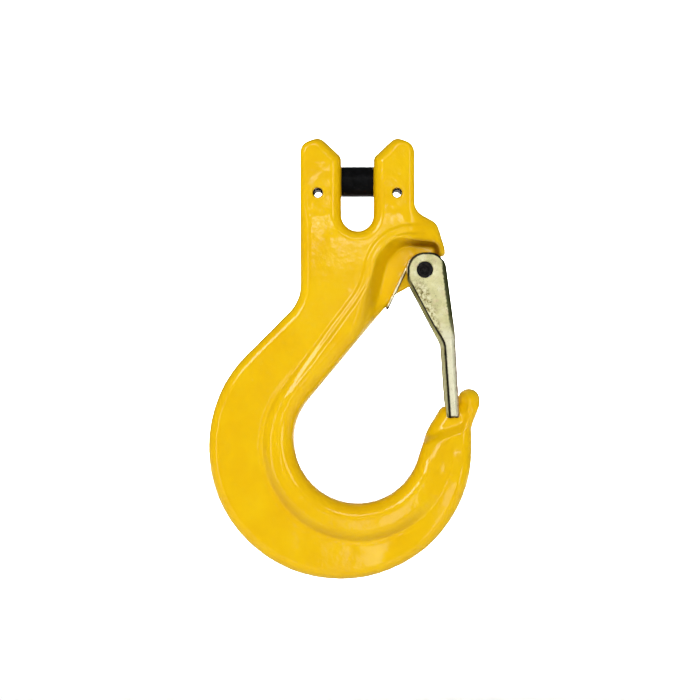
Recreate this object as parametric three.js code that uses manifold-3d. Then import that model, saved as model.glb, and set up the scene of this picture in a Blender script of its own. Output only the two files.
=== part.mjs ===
// Clevis sling hook with a spring latch, for 10 mm chain.
// Millimetres, +Z up. The origin is the centre of the load pin. X runs across the clevis and
// the hook's throat opens towards +X. The hook is symmetric front to back about Y = 0.
import * as THREE from 'three';
import * as BufferGeometryUtils from 'three/addons/utils/BufferGeometryUtils.js';
import Module from 'manifold-3d';

const wasm = await Module();
wasm.setup();

// ---- Driving dimensions ----

const GAP = 0.3;                      // running clearance between pieces

const FLAT_HALF = 11.5;               // half thickness of the ears, shank and outer flange
const BEAD_HALF = 13.5;               // half thickness at the raised bead around the seat
const BOSS_HALF = 3.6;                // half thickness of the thin boss that carries the latch
const NOSE_HALF = 6.2;                // half thickness of the nose where the latch straddles it
const TIP_HALF = 8.6;                 // half thickness of the nose's tip
const RIM = 1.2;                      // rounding of the forging's edges

const EAR_SIDE = 23.5;                // outer side of each clevis ear
const SLOT_HALF = 6.5;                // half width of the clevis slot
const SLOT_CENTRE_Z = -14.2;          // centre of the slot's round floor

const BOWL = { x: -7, z: -109, radius: 53.9 };     // outer circle of the bowl
const SEAT = { x: 0, z: -106, radius: 25.7 };      // inner circle, where the load sits
const BEAD_WIDTH = 13;                // bead width, measured from the seat
const TIP = { x: 45.9, z: -89.6, radius: 4.5 };    // round end of the nose
const NOSE_FOOT_Z = -99.6;            // where the nose starts to be thinner than the bowl
const POCKET_CHAMFER = 1.5;           // chamfer along the foot of the pocket's walls
const CUT_DEPTH = 15;                 // long enough for a cutter to clear the body's faces

const PIN_RADIUS = 6.25;              // load pin
const PIN_HALF = 22.6;                // half length of the load pin
const GROOVE_X = 16.2;                // retaining pins, and the grooves they run in
const RETAINER_Z = -5.3;
const RETAINER_RADIUS = 1.95;
const RETAINER_BORE = 1.6;
const RETAINER_HALF = 10.8;

const PIVOT = { x: 27.45, z: -36.6 }; // latch pivot
const SHOULDER_Z = -31;               // underside of the shoulder, just above the latch's web
const BOSS_RADIUS = 6.6;              // round end of the boss, inside the latch's web
const PIVOT_RADIUS = 3.2;
const PIVOT_DISH = { radius: 2.2, depth: 1.8 };    // hollow in each end of the pivot pin
const PIVOT_HALF = 10.7;

const SHEET = 2;                      // latch sheet thickness
const HEAD_RADIUS = 7.1;
const JOGGLE = { x: 34.3, z: -64, length: 5, tilt: 20 };  // slope from the head's width to the arm's
const HEAD_HALF = 10.4;               // outside of the latch's cheeks
const ARM_HALF = 8.6;                 // outside of the latch's arm
const LATCH_END_Z = -97.2;
const WEB_TOP = { x: 36.5, z: -37 };  // three places on the outside of the web
const WEB_KNEE = { x: 40, z: -62.6 };
const WEB_END = { x: 41.9, z: -87.2 };  // the web stops above the nose, which the cheeks straddle

const WIRE_RADIUS = 0.65;             // spring wire
const COIL = { x: 26.55, z: -36.3, radius: 6 };  // mean circle of the coils, loose on the pin
const COIL_TURNS = 2;                 // whole turns, of which the slanting legs save about 0.6
const COIL_INNER_Y = 4.55;            // the turn beside the boss
const COIL_OUTER_Y = 7.45;            // the turn beside the latch's cheek
const BAIL = { x: 12.3, z: -52 };     // where the wire crosses the throat edge
const PUSH_END = { x: 35, z: -50 };   // where the wire bears on the web

const CIRCLE_SIDES = 32;
const POINTS_A_TURN = 16;             // of the spring's coils
const CHORD_ERROR = 0.05;             // how far a facet may lie inside its arc

// ---- Solids ----

function toSolid(geometry) {
  const bare = geometry.clone();
  bare.deleteAttribute('normal');
  bare.deleteAttribute('uv');
  const merged = BufferGeometryUtils.mergeVertices(bare, 1e-4);
  return new wasm.Manifold(new wasm.Mesh({
    numProp: 3,
    vertProperties: new Float32Array(merged.attributes.position.array),
    triVerts: new Uint32Array(merged.index.array),
  }));
}

function toGeometry(solid) {
  const mesh = solid.getMesh();
  const geometry = new THREE.BufferGeometry();
  geometry.setAttribute('position', new THREE.BufferAttribute(mesh.vertProperties, 3));
  geometry.setIndex(new THREE.BufferAttribute(mesh.triVerts, 1));
  geometry.computeVertexNormals();
  return geometry;
}

// The angle at which the tangent from a point touches a circle. The sign picks one of the two.
function contactAngle(circle, [x, z], sign) {
  const distance = Math.hypot(x - circle.x, z - circle.z);
  return Math.atan2(z - circle.z, x - circle.x) + sign * Math.acos(circle.radius / distance);
}

// Points along an arc, close enough together that the chords stay within CHORD_ERROR of it.
function arcPoints(circle, from, to, turn) {
  const fullTurn = 2 * Math.PI;
  const sweep = ((((to - from) * turn) % fullTurn) + fullTurn) % fullTurn;
  const step = 2 * Math.acos(1 - CHORD_ERROR / circle.radius);
  const count = Math.max(1, Math.ceil(sweep / step));
  return Array.from({ length: count + 1 }, (_, i) => {
    const angle = from + (turn * sweep * i) / count;
    const x = circle.x + circle.radius * Math.cos(angle);
    return new THREE.Vector2(x, circle.z + circle.radius * Math.sin(angle));
  });
}

// The arc that rounds a corner between the points before and after it.
function cornerPoints([x, z, radius], before, after) {
  const corner = new THREE.Vector2(x, z);
  if (!radius) return [corner];
  const back = before.clone().sub(corner).normalize();
  const onward = after.clone().sub(corner).normalize();
  const halfAngle = Math.acos(back.dot(onward)) / 2;
  const middle = back.clone().add(onward).normalize();
  const centre = corner.clone().addScaledVector(middle, radius / Math.sin(halfAngle));
  const turn = back.cross(onward) < 0 ? 1 : -1;
  const away = turn > 0 ? -Math.PI / 2 : Math.PI / 2;
  const from = Math.atan2(-back.y, -back.x) + away;
  const to = Math.atan2(onward.y, onward.x) + away;
  return arcPoints({ x: centre.x, z: centre.y, radius }, from, to, turn);
}

// A closed outline. A row [x, z, radius] is a corner rounded by that radius. An object
// { x, z, radius, turn } is a circle that the outline runs along between the tangents from its
// two neighbours: turn is 1 for anticlockwise and -1 for clockwise.
function outline(items) {
  const neighbour = (i, step) => items[(i + step + items.length) % items.length];
  const rounds = items.map((item, i) => {
    if (Array.isArray(item)) return null;
    const from = contactAngle(item, neighbour(i, -1), item.turn);
    const to = contactAngle(item, neighbour(i, 1), -item.turn);
    return arcPoints(item, from, to, item.turn);
  });
  const points = items.flatMap((item, i) => {
    if (rounds[i]) return rounds[i];
    const roundBefore = rounds[(i + items.length - 1) % items.length];
    const roundAfter = rounds[(i + 1) % items.length];
    const before = roundBefore ? roundBefore.at(-1) : new THREE.Vector2(...neighbour(i, -1));
    const after = roundAfter ? roundAfter[0] : new THREE.Vector2(...neighbour(i, 1));
    return cornerPoints(item, before, after);
  });
  const apart = points.filter((point, i) => point.distanceTo(points.at(i - 1)) > CHORD_ERROR);
  return new THREE.Shape(apart);
}

// A plate of an XZ outline, centred on Y = 0, with its edges rounded inside the outline.
function plate(shape, half, rim = 0) {
  const geometry = new THREE.ExtrudeGeometry(shape, {
    depth: 2 * (half - rim),
    bevelEnabled: rim > 0,
    bevelThickness: rim,
    bevelSize: rim,
    bevelOffset: -rim,
    bevelSegments: 2,
  });
  geometry.translate(0, 0, -(half - rim));
  geometry.rotateX(Math.PI / 2);
  return toSolid(geometry);
}

// A round bar along Y, turned by a quarter of a facet so that no edge meets another face flush.
function barY(x, z, radius, half) {
  const cylinder = new THREE.CylinderGeometry(radius, radius, 2 * half, CIRCLE_SIDES);
  return toSolid(cylinder.rotateY(Math.PI / (2 * CIRCLE_SIDES)).translate(x, 0, z));
}

// A round bar along X, centred on the origin.
function barX(radius, half) {
  const cylinder = new THREE.CylinderGeometry(radius, radius, 2 * half, CIRCLE_SIDES);
  return toSolid(cylinder.rotateY(Math.PI / (2 * CIRCLE_SIDES)).rotateZ(Math.PI / 2));
}

// ---- Hook body ----

function bodyOutline() {
  return outline([
    [-SLOT_HALF, 9.4, 3],
    { x: 0, z: SLOT_CENTRE_Z, radius: SLOT_HALF, turn: 1 },
    [SLOT_HALF, 9.4, 3],
    [15.4, 17.6, 3.5],
    [EAR_SIDE, 14.6, 5],
    [EAR_SIDE, -12.4, 6],
    [32.7, -17.2, 6],
    [36, -28, 6],
    [36, SHOULDER_Z, 1.3],
    [33.9, SHOULDER_Z, 0.6],
    { ...PIVOT, radius: BOSS_RADIUS, turn: -1 },
    [22.2, -43, 5],
    [16, -46.4, 4],
    { ...SEAT, turn: 1 },
    [28.3, -102.6, 30],
    [34.4, -92.6, 3],
    [41, -91.6, 1.2],
    { ...TIP, turn: -1 },
    [50.1, -92.6, 4],
    [46.9, -101, 12],
    { ...BOWL, turn: -1 },
    [-EAR_SIDE, -49.4, 16],
    [-EAR_SIDE, 14.6, 5],
    [-15.4, 17.6, 3.5],
  ]);
}

// The bead follows the seat, then sweeps up beside the latch recess to the shoulder.
function beadOutline() {
  return outline([
    [30, -23.4, 3],
    [10.5, -22.8, 12],
    [1.2, -44.5, 14],
    { ...SEAT, radius: SEAT.radius + BEAD_WIDTH, turn: 1 },
    [41, -100, 3],
    [37, -94.5, 2],
    [28.3, -102.6, 30],
    { ...SEAT, turn: -1 },
    [16, -46.4, 3],
    [30, -40, 3],
  ]);
}

// The pocket on each side of the boss. It is open towards the throat, and a short rim below the
// shoulder closes its upper outer corner.
function recessCutter(side) {
  const rimFoot = SHOULDER_Z - POCKET_CHAMFER;
  const pastThroat = 45;
  const pocket = outline([
    [pastThroat, rimFoot, 0],
    [32.2, rimFoot, 0],
    [32.2, -26.6, 2],
    [17.5, -25.6, 8],
    [11, -32.5, 9],
    [3.6, -60.5, 0],
    [pastThroat, -62, 0],
  ]);
  const geometry = new THREE.ExtrudeGeometry(pocket, {
    depth: CUT_DEPTH,
    bevelEnabled: true,
    bevelThickness: POCKET_CHAMFER,
    bevelSize: POCKET_CHAMFER,
    bevelOffset: 0,
    bevelSegments: 1,
  });
  geometry.rotateX(Math.PI / 2);
  geometry.translate(0, side * (BOSS_HALF + POCKET_CHAMFER + CUT_DEPTH / 2) + CUT_DEPTH / 2, 0);
  return toSolid(geometry);
}

// A block that thins the body down to a half thickness, on one side, within an outline.
function thinningCutter(items, half, side) {
  return plate(outline(items), CUT_DEPTH / 2).translate([0, side * (half + CUT_DEPTH / 2), 0]);
}

// Each side of the nose is thinner than the bowl, with a shelf that the latch's cheeks straddle.
function noseCutter(side) {
  const foot = NOSE_FOOT_Z;
  const pastTip = foot + 20;
  const pastThroat = 28;
  const pastBack = 60;
  const tip = [[pastThroat, foot, 0], [pastBack, foot, 0], [pastBack, pastTip, 0], [pastThroat, pastTip, 0]];
  const shelf = [
    [pastThroat, foot, 0],
    [42.5, foot, 3],
    [43.6, -91, 4],
    [41, pastTip, 0],
    [pastThroat, pastTip, 0],
  ];
  return thinningCutter(tip, TIP_HALF, side).add(thinningCutter(shelf, NOSE_HALF, side));
}

function hookBody() {
  let body = plate(bodyOutline(), FLAT_HALF, RIM).add(plate(beadOutline(), BEAD_HALF, RIM));
  body = body.intersect(plate(bodyOutline(), CUT_DEPTH));
  for (const side of [-1, 1]) {
    body = body.subtract(recessCutter(side)).subtract(noseCutter(side));
    body = body.subtract(barY(side * GROOVE_X, RETAINER_Z, RETAINER_RADIUS + GAP, CUT_DEPTH));
  }
  body = body.subtract(barX(PIN_RADIUS + GAP, PIN_HALF + CUT_DEPTH));
  return body.subtract(barY(PIVOT.x, PIVOT.z, PIVOT_RADIUS + GAP, CUT_DEPTH));
}

// ---- Load pin and retaining pins ----

// Turned about X, with a groove round it wherever a retaining pin passes.
function loadPin() {
  const chamfer = 0.8;
  const steps = 8;
  const grooveRadius = RETAINER_RADIUS + GAP;
  const mouth = Math.acos((PIN_RADIUS + RETAINER_Z) / grooveRadius);
  const profile = [new THREE.Vector2(0, -PIN_HALF)];
  profile.push(new THREE.Vector2(PIN_RADIUS - chamfer, -PIN_HALF));
  profile.push(new THREE.Vector2(PIN_RADIUS, -PIN_HALF + chamfer));
  for (const side of [-1, 1]) {
    for (let i = 0; i <= steps; i += 1) {
      const angle = mouth + (i / steps) * 2 * (Math.PI - mouth);
      const radius = -RETAINER_Z + grooveRadius * Math.cos(angle);
      profile.push(new THREE.Vector2(radius, side * GROOVE_X - grooveRadius * Math.sin(angle)));
    }
  }
  profile.push(new THREE.Vector2(PIN_RADIUS, PIN_HALF - chamfer));
  profile.push(new THREE.Vector2(PIN_RADIUS - chamfer, PIN_HALF));
  profile.push(new THREE.Vector2(0, PIN_HALF));
  return toSolid(new THREE.LatheGeometry(profile, CIRCLE_SIDES).rotateZ(-Math.PI / 2));
}

// A pin along Y with a dish in each end.
function dishedPin(radius, half, dish) {
  const chamfer = 0.4;
  const profile = [
    [0, dish.depth - half],
    [dish.radius, -half],
    [radius - chamfer, -half],
    [radius, chamfer - half],
    [radius, half - chamfer],
    [radius - chamfer, half],
    [dish.radius, half],
    [0, half - dish.depth],
  ];
  const points = profile.map(([r, y]) => new THREE.Vector2(r, y));
  return toSolid(new THREE.LatheGeometry(points, CIRCLE_SIDES));
}

// A rolled pin: a tube with a slot along its length, drawn as a C in section.
function rolledPin(radius, bore, half, slotDegrees) {
  const open = THREE.MathUtils.degToRad(slotDegrees / 2);
  const shape = new THREE.Shape([
    ...arcPoints({ x: 0, z: 0, radius }, open, -open, 1),
    ...arcPoints({ x: 0, z: 0, radius: bore }, -open, open, -1),
  ]);
  return plate(shape, half);
}

// ---- Latch ----

// The side view of the latch: a round head on the pivot, and an arm that reaches the nose.
function latchOutline() {
  const headTop = PIVOT.z + HEAD_RADIUS;
  return outline([
    [PIVOT.x - HEAD_RADIUS, headTop, HEAD_RADIUS],
    [WEB_TOP.x - 1, headTop, HEAD_RADIUS],
    [WEB_TOP.x, WEB_TOP.z, 20],
    [WEB_KNEE.x, WEB_KNEE.z, 40],
    [WEB_END.x, LATCH_END_Z, 1],
    [36.4, LATCH_END_Z, 1],
    [34.3, -67.2, 5],
    [PIVOT.x - HEAD_RADIUS, -41, 3],
  ]);
}

// The space between the cheeks, open to the throat and at both ends of the web.
function latchHollowOutline() {
  const pastThroat = 10;
  const pastHead = -20;
  const pastArm = LATCH_END_Z - 10;
  return outline([
    [pastThroat, pastHead, 0],
    [WEB_TOP.x - SHEET, pastHead, 0],
    [WEB_TOP.x - SHEET, WEB_TOP.z, 20],
    [WEB_KNEE.x - SHEET, WEB_KNEE.z, 40],
    [WEB_END.x - SHEET, LATCH_END_Z, 0],
    [WEB_END.x - SHEET, pastArm, 0],
    [pastThroat, pastArm, 0],
  ]);
}

// A block that narrows from the head's width to the arm's, across a joggle below the pivot.
function joggledBlock(headHalf, armHalf) {
  const reach = 80;
  const right = [[headHalf, reach], [headHalf, JOGGLE.length], [armHalf, 0], [armHalf, -reach]];
  const left = right.map(([half, height]) => [-half, height]).reverse();
  const shape = new THREE.Shape([...right, ...left].map(([y, height]) => new THREE.Vector2(y, height)));
  const geometry = new THREE.ExtrudeGeometry(shape, { depth: 2 * reach, bevelEnabled: false });
  geometry.translate(0, 0, -reach);
  geometry.rotateX(Math.PI / 2);
  geometry.rotateZ(Math.PI / 2);
  geometry.rotateY(THREE.MathUtils.degToRad(JOGGLE.tilt));
  geometry.translate(JOGGLE.x, 0, JOGGLE.z);
  return toSolid(geometry);
}

// Stamped from one sheet and folded along the web, which is cut short at both ends.
function latch() {
  const headInner = HEAD_HALF - SHEET;
  const armInner = ARM_HALF - SHEET;
  const across = 40;
  const cut = 20;
  const outside = plate(latchOutline(), HEAD_HALF).intersect(joggledBlock(HEAD_HALF, ARM_HALF));
  const hollow = plate(latchHollowOutline(), HEAD_HALF).intersect(joggledBlock(headInner, armInner));
  const below = new THREE.BoxGeometry(across, 2 * armInner, cut);
  below.translate(WEB_END.x, 0, WEB_END.z - cut / 2);
  const above = new THREE.BoxGeometry(across, 2 * headInner, cut);
  above.translate(WEB_TOP.x, 0, SHOULDER_Z - 1 + cut / 2);
  return outside
    .subtract(hollow)
    .subtract(toSolid(below))
    .subtract(toSolid(above))
    .subtract(barY(PIVOT.x, PIVOT.z, PIVOT_RADIUS + GAP, CUT_DEPTH));
}

// ---- Latch spring ----

// One wire: from the latch's web, round the front coil and down the front leg to the throat
// edge, then across it in a bail and back the same way behind the boss.
function springPath() {
  const push = [PUSH_END.x, PUSH_END.z];
  const from = contactAngle(COIL, push, 1);
  const to = contactAngle(COIL, [BAIL.x, BAIL.z], -1) + 2 * Math.PI * COIL_TURNS;
  const turns = (to - from) / (2 * Math.PI);
  const count = Math.round(POINTS_A_TURN * turns);
  const front = [new THREE.Vector3(push[0], -COIL_OUTER_Y, push[1])];
  for (let i = 0; i <= count; i += 1) {
    const angle = from + ((to - from) * i) / count;
    const y = -COIL_OUTER_Y + ((COIL_OUTER_Y - COIL_INNER_Y) * i) / count;
    const x = COIL.x + COIL.radius * Math.cos(angle);
    front.push(new THREE.Vector3(x, y, COIL.z + COIL.radius * Math.sin(angle)));
  }
  const legTop = front.at(-1);
  const bend = 1.2;
  const legEnd = new THREE.Vector3(BAIL.x, -COIL_INNER_Y, BAIL.z);
  const legLength = legTop.distanceTo(legEnd);
  front.push(legTop.clone().lerp(legEnd, 0.5));
  front.push(legTop.clone().lerp(legEnd, 1 - bend / legLength));
  front.push(new THREE.Vector3(BAIL.x, -COIL_INNER_Y + bend, BAIL.z));
  const rear = front.map((point) => new THREE.Vector3(point.x, -point.y, point.z)).reverse();
  return new THREE.CatmullRomCurve3([...front, ...rear], false, 'centripetal');
}

function latchSpring() {
  const sides = 8;
  const stepLength = 2.3;
  const path = springPath();
  const section = new THREE.Shape(Array.from({ length: sides }, (_, i) => {
    const angle = (2 * Math.PI * i) / sides;
    return new THREE.Vector2(WIRE_RADIUS * Math.cos(angle), WIRE_RADIUS * Math.sin(angle));
  }));
  const steps = Math.round(path.getLength() / stepLength);
  return toSolid(new THREE.ExtrudeGeometry(section, { steps, bevelEnabled: false, extrudePath: path }));
}

// ---- Assembly ----

function finish(color, roughness, metalness) {
  return new THREE.MeshStandardMaterial({ color, roughness, metalness });
}

const yellowPaint = finish(0xf4bf08, 0.32, 0);
const blackOxide = finish(0x131313, 0.5, 0.7);
const springSteel = finish(0x2a2826, 0.45, 0.8);
const yellowZinc = finish(0xc9bf86, 0.3, 1);
const brightWire = finish(0xbba06a, 0.3, 1);

const group = new THREE.Group();

function addPart(name, solid, material, x = 0, z = 0) {
  const mesh = new THREE.Mesh(toGeometry(solid), material);
  mesh.name = name;
  mesh.position.set(x, 0, z);
  group.add(mesh);
}

addPart('hook_body', hookBody(), yellowPaint);
addPart('load_pin', loadPin(), blackOxide);
for (const [name, side] of [['retaining_pin_left', -1], ['retaining_pin_right', 1]]) {
  const pin = rolledPin(RETAINER_RADIUS, RETAINER_BORE, RETAINER_HALF, 40);
  addPart(name, pin, springSteel, side * GROOVE_X, RETAINER_Z);
}
addPart('latch', latch(), yellowZinc);
addPart('latch_spring', latchSpring(), brightWire);
addPart('latch_pivot_pin', dishedPin(PIVOT_RADIUS, PIVOT_HALF, PIVOT_DISH), springSteel, PIVOT.x, PIVOT.z);

export default group;
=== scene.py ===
"""Looks of a clevis sling hook with a spring latch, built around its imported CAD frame.

The forged body and the stamped latch are solids given by a field that is negative inside. Each
field starts from a side view, made of lines and arcs, and from a height that varies over it, as
a forging die or a press tool gives. Dimensions below are in millimetres, in the CAD frame: +Z is
up, X runs across the clevis, -Y is the front, and the origin is the centre of the load pin.
"""

import math

import bpy
import numpy as np
from mathutils import Matrix, Vector, noise


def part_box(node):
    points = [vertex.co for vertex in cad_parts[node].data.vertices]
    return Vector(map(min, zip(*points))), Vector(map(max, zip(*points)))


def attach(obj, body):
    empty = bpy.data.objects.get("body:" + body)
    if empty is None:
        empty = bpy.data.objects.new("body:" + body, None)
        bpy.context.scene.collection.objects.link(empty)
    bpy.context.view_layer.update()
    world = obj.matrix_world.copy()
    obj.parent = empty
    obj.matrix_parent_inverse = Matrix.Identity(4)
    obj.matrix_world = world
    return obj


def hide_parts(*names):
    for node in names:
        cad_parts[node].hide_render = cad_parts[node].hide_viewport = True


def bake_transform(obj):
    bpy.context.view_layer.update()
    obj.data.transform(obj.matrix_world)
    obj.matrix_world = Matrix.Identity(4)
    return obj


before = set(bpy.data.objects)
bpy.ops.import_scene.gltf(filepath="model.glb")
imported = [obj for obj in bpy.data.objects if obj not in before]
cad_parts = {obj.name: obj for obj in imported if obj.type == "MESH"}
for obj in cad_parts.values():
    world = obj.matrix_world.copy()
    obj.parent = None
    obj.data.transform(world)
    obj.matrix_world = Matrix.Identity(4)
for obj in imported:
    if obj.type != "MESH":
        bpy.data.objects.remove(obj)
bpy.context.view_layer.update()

MM = 0.001

# ---- Sizes from the frame ----


def node_box(name):
    """The lowest and highest corner of a CAD node, in millimetres."""
    low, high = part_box(name)
    return np.array(low) / MM, np.array(high) / MM


body_low, body_high = node_box("hook_body")
_, pin_high = node_box("load_pin")
retainer_low, retainer_high = node_box("retaining_pin_right")
pivot_low, pivot_high = node_box("latch_pivot_pin")
latch_low, latch_high = node_box("latch")

EAR_WALL = 5.35                         # metal outside each retaining pin

CREST_HALF = body_high[1]               # half thickness at the bead's crest
EAR_SIDE = retainer_high[0] + EAR_WALL  # outer side of each clevis ear
PIN_RADIUS = pin_high[2]
PIN_HALF = pin_high[0]
RETAINER_X = (retainer_low[0] + retainer_high[0]) / 2
RETAINER_Z = (retainer_low[2] + retainer_high[2]) / 2
RETAINER_RADIUS = (retainer_high[2] - retainer_low[2]) / 2
RETAINER_HALF = retainer_high[1]
PIVOT_X = (pivot_low[0] + pivot_high[0]) / 2
PIVOT_Z = (pivot_low[2] + pivot_high[2]) / 2
PIVOT_RADIUS = (pivot_high[2] - pivot_low[2]) / 2
PIVOT_HALF = pivot_high[1]
HEAD_HALF = latch_high[1]               # outside of the latch's cheeks
LATCH_END_Z = latch_low[2]
LATCH_TOP_Z = latch_high[2]

# ---- The hook body's own dimensions ----

GAP = 0.3                               # clearance of the load pin, its grooves and the latch's head
FIT = 0.1                               # the closer fit of the pivot and retaining pins
FLAT_HALF = 11.5                        # half thickness of the ears, shank and flange
LEDGE_RISE = 0.9                        # first step up from the flat, before the crest
STEP_WALL = (-0.5, 1.1)                 # a step's rise, from outside its outline to inside
BEAD_SLOPE = 5.5                        # width of the bead's outer slope around the bowl
BEAD_ROUNDNESS = 2.6
BEAD_DEPTHS = (55, 95)                  # below the load pin, where the steps become the bead
BEAD_FOOT_DEPTH = 0.3                   # of the hollow along the foot of the bead
NOSE_RISE = 1.2                         # what the bead fades to, on the way up to the nose
FADE_ACROSS = (26, 46)                  # where it fades, along X and tilted
FADE_TILT = 0.35
FADE_DEPTHS = (70, 90)
BOSS_HALF = 3.6
NOSE_HALF = 6.2
TIP_HALF = 8.6
SLOT_HALF = 6.5
SEAT = {"x": 0, "z": -106, "radius": 25.7}
BOWL = {"x": -7, "z": -109, "radius": 53.9}
TIP = {"x": 45.9, "z": -89.6, "radius": 4.5}
BOSS = {"x": PIVOT_X, "z": PIVOT_Z, "radius": 6.6}
SHOULDER_Z = -31
RETAINER_BORE = 1.6
RETAINER_INSET = 3.4                    # how far inside the ear each retaining pin ends
RETAINER_SLOT_DEGREES = 40              # opening along each rolled pin
FLANGE_EDGE = 4.3                       # radii that round the body's edges
THROAT_EDGE = 6.8
EAR_INNER_EDGE = 4.6
EAR_OUTER_EDGE = 2.2
POCKET_EDGE = 1.2
LEAST_SIDE = 0.4                        # half height left upright between two rounded edges
BORE_EDGE = 0.6
SMALL_BORE_EDGE = 0.5
WALL_LEAN = 1.4                         # how far the pocket's wall leans out past its foot
WALL_LEAN_LEFT = 3.4                    # and how much further at its left
WALL_LEAN_OUT = 1.6                     # and where the floor runs out
WALL_WIDTH = 1.4                        # of the wall, as a multiple of its lean
RUN_OUT_WAY = (0.74, 0.68)              # left and down, from the pivot to the throat's edge
RUN_OUT_RANGE = (18, 37)                # distances from the pivot where the floor rises
POCKET_RUN_OUT = 7.5                    # how far the pocket's floor rises as it runs out
PAST_THROAT = 60                        # beyond the hook on the throat's side
PAST_EARS = 6
FORGED_SKIN = [(16, 0.12), (6, 0.05), (2.6, 0.022)]  # size and height of its waves
BODY_STEP = 0.5                         # spacing of the grid that the body is sampled on

# ---- The latch's own dimensions ----

SHEET = 2
THINNED = 0.6                           # how much thinner the sheet is where it leans in
HEAD_RADIUS = 7.1
ARM_HALF = 8.6
WEB_TOP = (36.5, -37)
WEB_KNEE = (40, -62.6)
WEB_END = (41.9, -87.2)
CREASE_TOP = (27.9, -40.8)              # the cheek folds inwards to the left of this line
CREASE_END = (35.4, -64.2)
LEFT_NECK_Z = -41                       # three places on the latch's left edge
LEFT_KNEE = (34.3, -67.2)
LEFT_END_X = 36.4
LEAN_START = 44                         # depth below the load pin where the cheeks begin to lean in
KNEE_Z = 64                             # depth below the load pin where the arm begins
CHEEK_LEAN = 1.3                        # how far each cheek has leaned in at the knee
KNEE_STEP = 0.9                         # length of the small step from the cheek down to the arm
FOLD_START = (39, 46)                   # depths below the load pin where the fold begins
FOLD_SLOPE = 0.24                       # of the part to the left of the crease
FOLD_DEPTH = 1.7                        # the furthest that it folds in
CURL_HEAD = 0.9                         # width of the strip set back along the left edge
CURL_ARM = 1.2
CURL_DEPTH = 1.2                        # how far the strip is set back
CUT_EDGE = 0.5                          # radii that round the latch's edges
WEB_BEND = 2.5
INNER_BEND = 0.6
WEB_EDGE = 0.5
STAMPED_EDGE = 0.3
STAMPED_SKIN = [(5, 0.05), (1.8, 0.02)]  # size and height of its waves
LATCH_STEP = 0.35

# ---- The spring's own dimensions ----

WIRE_RADIUS = 0.65
COIL = {"x": 26.55, "z": -36.3, "radius": 6}
COIL_TURNS = 2                          # whole turns, less what the slanting legs save
COIL_INNER_Y = 4.55                     # the turn beside the boss
COIL_OUTER_Y = 7.45                     # the turn beside the latch's cheek
BAIL = (12.3, -52)
PUSH_END = (35, -50)


# ---- Outlines ----


def contact_angle(circle, point, sign):
    """The angle at which the tangent from a point touches a circle; the sign picks one of two."""
    dx, dz = point[0] - circle["x"], point[1] - circle["z"]
    return math.atan2(dz, dx) + sign * math.acos(circle["radius"] / math.hypot(dx, dz))


def arc_points(circle, start, end, turn):
    """Points along an arc, in steps of at most a tenth of a radian."""
    sweep = ((end - start) * turn) % (2 * math.pi)
    angles = start + turn * np.linspace(0, sweep, max(2, math.ceil(sweep / 0.1) + 1))
    x = circle["x"] + circle["radius"] * np.cos(angles)
    return np.column_stack([x, circle["z"] + circle["radius"] * np.sin(angles)])


def corner_points(corner, before, after):
    """The arc that rounds a corner (x, z, radius) between the points before and after it."""
    point, radius = np.array(corner[:2], float), corner[2]
    if not radius:
        return point[None]
    back = (before - point) / np.linalg.norm(before - point)
    onward = (after - point) / np.linalg.norm(after - point)
    half_angle = math.acos(back @ onward) / 2
    middle = (back + onward) / np.linalg.norm(back + onward)
    centre = point + middle * radius / math.sin(half_angle)
    turn = 1 if back[0] * onward[1] - back[1] * onward[0] < 0 else -1
    start = math.atan2(-back[1], -back[0]) - turn * math.pi / 2
    end = math.atan2(onward[1], onward[0]) - turn * math.pi / 2
    return arc_points({"x": centre[0], "z": centre[1], "radius": radius}, start, end, turn)


def outline(items):
    """A closed outline from rounded corners (x, z, radius) and circles that it runs along."""
    def place(item):
        return (item["x"], item["z"]) if isinstance(item, dict) else item[:2]

    rounds = {}
    for i, item in enumerate(items):
        if isinstance(item, dict):
            start = contact_angle(item, place(items[i - 1]), item["turn"])
            end = contact_angle(item, place(items[(i + 1) % len(items)]), -item["turn"])
            rounds[i] = arc_points(item, start, end, item["turn"])
    points = []
    for i, item in enumerate(items):
        if i in rounds:
            points.append(rounds[i])
            continue
        last, following = (i - 1) % len(items), (i + 1) % len(items)
        before = rounds[last][-1] if last in rounds else np.array(place(items[last]), float)
        after = rounds[following][0] if following in rounds else np.array(place(items[following]), float)
        points.append(corner_points(item, before, after))
    return np.concatenate(points)


def distance_to(points, x, z):
    """Signed distance from a closed outline, negative inside it."""
    nearest = np.full(x.shape, np.inf)
    inside = np.zeros(x.shape, bool)
    for (ax, az), (bx, bz) in zip(points, np.roll(points, -1, axis=0)):
        length = (bx - ax) ** 2 + (bz - az) ** 2
        if length < 1e-12:
            continue
        t = np.clip(((x - ax) * (bx - ax) + (z - az) * (bz - az)) / length, 0, 1)
        nearest = np.minimum(nearest, (x - ax - t * (bx - ax)) ** 2 + (z - az - t * (bz - az)) ** 2)
        if az != bz:
            crosses = (az > z) != (bz > z)
            inside ^= crosses & (x < ax + (bx - ax) * (z - az) / (bz - az))
    return np.where(inside, -1, 1) * np.sqrt(nearest)


# ---- Fields ----


def ramp(value, start, end):
    """0 up to start, 1 from end, and a smooth rise between them."""
    t = np.clip((value - start) / (end - start), 0, 1)
    return t * t * (3 - 2 * t)


def hump(value, middle, width):
    """1 in the middle, falling smoothly to 0 over about twice the width on each side."""
    return np.exp(-((value - middle) / width) ** 2)


def rounded_slab(side, height, radius, y):
    """A slab of varying half height within a side view, with its edges rounded by a radius."""
    up = np.abs(y) - height[:, None, :] + radius[:, None, :]
    out = (side + radius)[:, None, :]
    corner = np.hypot(np.maximum(up, 0), np.maximum(out, 0))
    return corner + np.minimum(np.maximum(up, out), 0) - radius[:, None, :]


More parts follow.
